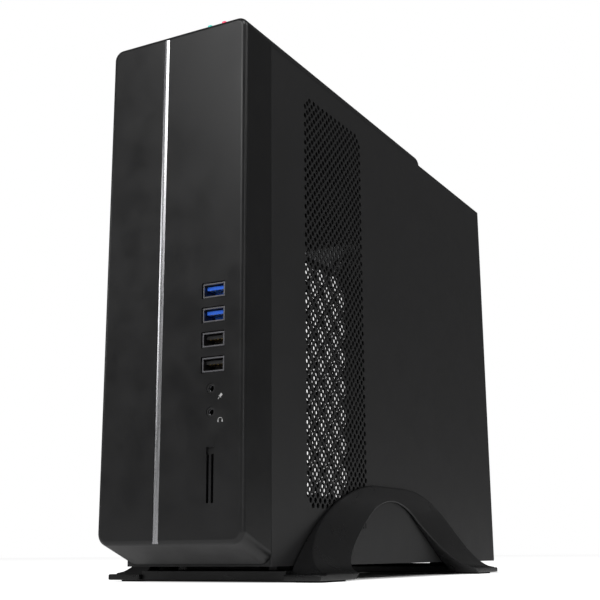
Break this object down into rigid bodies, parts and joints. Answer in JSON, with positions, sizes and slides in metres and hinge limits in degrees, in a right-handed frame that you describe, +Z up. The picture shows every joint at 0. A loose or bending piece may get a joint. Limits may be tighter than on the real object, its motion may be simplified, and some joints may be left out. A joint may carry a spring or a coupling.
{
  "type": "desktop computer tower",
  "caption": "Slim upright desktop computer case on an arched stand, with front ports, side vents, removable side covers and complete internals.",
  "frame": {"origin": "on the floor, at the centre of the whole object's box seen from above", "axes": "+Z up, front face towards -Y, +Y towards the rear ports, +X to the right seen from the front"},
  "size_m": [0.1468, 0.4124, 0.3298],
  "materials": {
    "bezel_plastic": "satin black moulded plastic",
    "cap_plastic": "satin black moulded plastic",
    "cover_steel": "fine black powder coat",
    "vent_steel": "fine black powder coat",
    "chassis_steel": "black powder coat",
    "bright_strip": "polished and lightly brushed",
    "stand_plastic": "satin black moulded plastic",
    "pad_rubber": "soft matt rubber",
    "port_shell": "plated steel",
    "blue_plastic": "blue moulded plastic",
    "black_plastic": "black moulded plastic",
    "button_plastic": "satin black moulded plastic",
    "green_lens": "clear tinted lens",
    "red_lens": "clear tinted lens",
    "circuit_board": "green solder mask",
    "memory_board": "green solder mask",
    "zinc_steel": "zinc-plated steel",
    "screw_steel": "black zinc-plated steel",
    "brass": "turned brass",
    "nickel_lid": "nickel-plated lid",
    "heatsink_aluminium": "extruded aluminium",
    "fan_plastic": "black moulded plastic",
    "psu_steel": "zinc-plated steel",
    "guard_wire": "bright plated steel",
    "drive_metal": "cast and machined aluminium",
    "ssd_shell": "moulded plastic shell"
  },
  "bodies": {
    "case": {"front_bezel": "bezel_plastic", "silver_strip": "bright_strip", "top_cap": "cap_plastic", "power_switch": "black_plastic", "power_light": "green_lens", "drive_light": "red_lens", "usb3_upper_shell": "port_shell", "usb3_lower_shell": "port_shell", "usb2_upper_shell": "port_shell", "usb2_lower_shell": "port_shell", "usb3_tongues": "blue_plastic", "usb2_tongues": "black_plastic", "microphone_jack": "black_plastic", "headphone_jack": "black_plastic", "card_reader": "black_plastic", "front_io_board": "circuit_board", "machine_screws": "screw_steel", "chassis_frame": "chassis_steel", "stand_arch_left": "stand_plastic", "stand_arch_right": "stand_plastic", "stand_bar_front": "stand_plastic", "stand_bar_rear": "stand_plastic", "stand_pads": "pad_rubber", "board_tray": "zinc_steel", "standoffs": "brass", "main_board": "circuit_board", "cpu_socket": "black_plastic", "processor": "nickel_lid", "heatsink": "heatsink_aluminium", "cpu_fan_frame": "fan_plastic", "memory_slots": "black_plastic", "memory_module_1": "memory_board", "memory_module_2": "memory_board", "board_parts": "black_plastic", "rear_ports": "port_shell", "io_shield": "zinc_steel", "slot_cover": "chassis_steel", "psu_housing": "psu_steel", "psu_circuit": "circuit_board", "psu_guard": "guard_wire", "psu_fan_frame": "fan_plastic", "power_inlet": "black_plastic", "rocker_frame": "black_plastic", "drive_bracket": "zinc_steel", "hard_drive": "drive_metal", "solid_state_drive": "ssd_shell"},
    "left_cover": {"left_cover": "cover_steel", "left_vent": "vent_steel"},
    "right_cover": {"right_cover": "cover_steel", "right_vent": "vent_steel"},
    "thumbscrew_left_lower": {"thumbscrew_left_lower": "screw_steel"},
    "thumbscrew_left_upper": {"thumbscrew_left_upper": "screw_steel"},
    "thumbscrew_right_lower": {"thumbscrew_right_lower": "screw_steel"},
    "thumbscrew_right_upper": {"thumbscrew_right_upper": "screw_steel"},
    "power_button": {"power_button": "button_plastic"},
    "cpu_fan_rotor": {"cpu_fan_rotor": "fan_plastic"},
    "psu_fan_rotor": {"psu_fan_rotor": "fan_plastic"},
    "rocker": {"rocker": "black_plastic"}
  },
  "joints": [
    {"name": "left_cover_slide", "type": "slide", "parent": "case", "child": "left_cover", "axis": [0, 1, 0], "range_m": [0, 0.012]},
    {"name": "right_cover_slide", "type": "slide", "parent": "case", "child": "right_cover", "axis": [0, 1, 0], "range_m": [0, 0.012]},
    {"name": "thumbscrew_left_lower_turn", "type": "hinge", "parent": "left_cover", "child": "thumbscrew_left_lower", "pos_m": [-0.0446, 0.20175, 0.033], "axis": [0, 1, 0], "continuous": true},
    {"name": "thumbscrew_left_upper_turn", "type": "hinge", "parent": "left_cover", "child": "thumbscrew_left_upper", "pos_m": [-0.0446, 0.20175, 0.297], "axis": [0, 1, 0], "continuous": true},
    {"name": "thumbscrew_right_lower_turn", "type": "hinge", "parent": "right_cover", "child": "thumbscrew_right_lower", "pos_m": [0.0446, 0.20175, 0.033], "axis": [0, 1, 0], "continuous": true},
    {"name": "thumbscrew_right_upper_turn", "type": "hinge", "parent": "right_cover", "child": "thumbscrew_right_upper", "pos_m": [0.0446, 0.20175, 0.297], "axis": [0, 1, 0], "continuous": true},
    {"name": "power_button_press", "type": "slide", "parent": "case", "child": "power_button", "axis": [0, 0, -1], "range_m": [0, 0.0015], "stiffness_N_per_m": 600, "springref_m": -0.0005},
    {"name": "cpu_fan_spin", "type": "hinge", "parent": "case", "child": "cpu_fan_rotor", "pos_m": [-0.003, 0.12135, 0.159], "axis": [1, 0, 0], "continuous": true},
    {"name": "psu_fan_spin", "type": "hinge", "parent": "case", "child": "psu_fan_rotor", "pos_m": [0, 0.08685, 0.26], "axis": [0, 0, 1], "continuous": true},
    {"name": "rocker_tip", "type": "hinge", "parent": "case", "child": "rocker", "pos_m": [0.014, 0.19665, 0.2845], "axis": [1, 0, 0], "range_deg": [0, 16]}
  ]
}
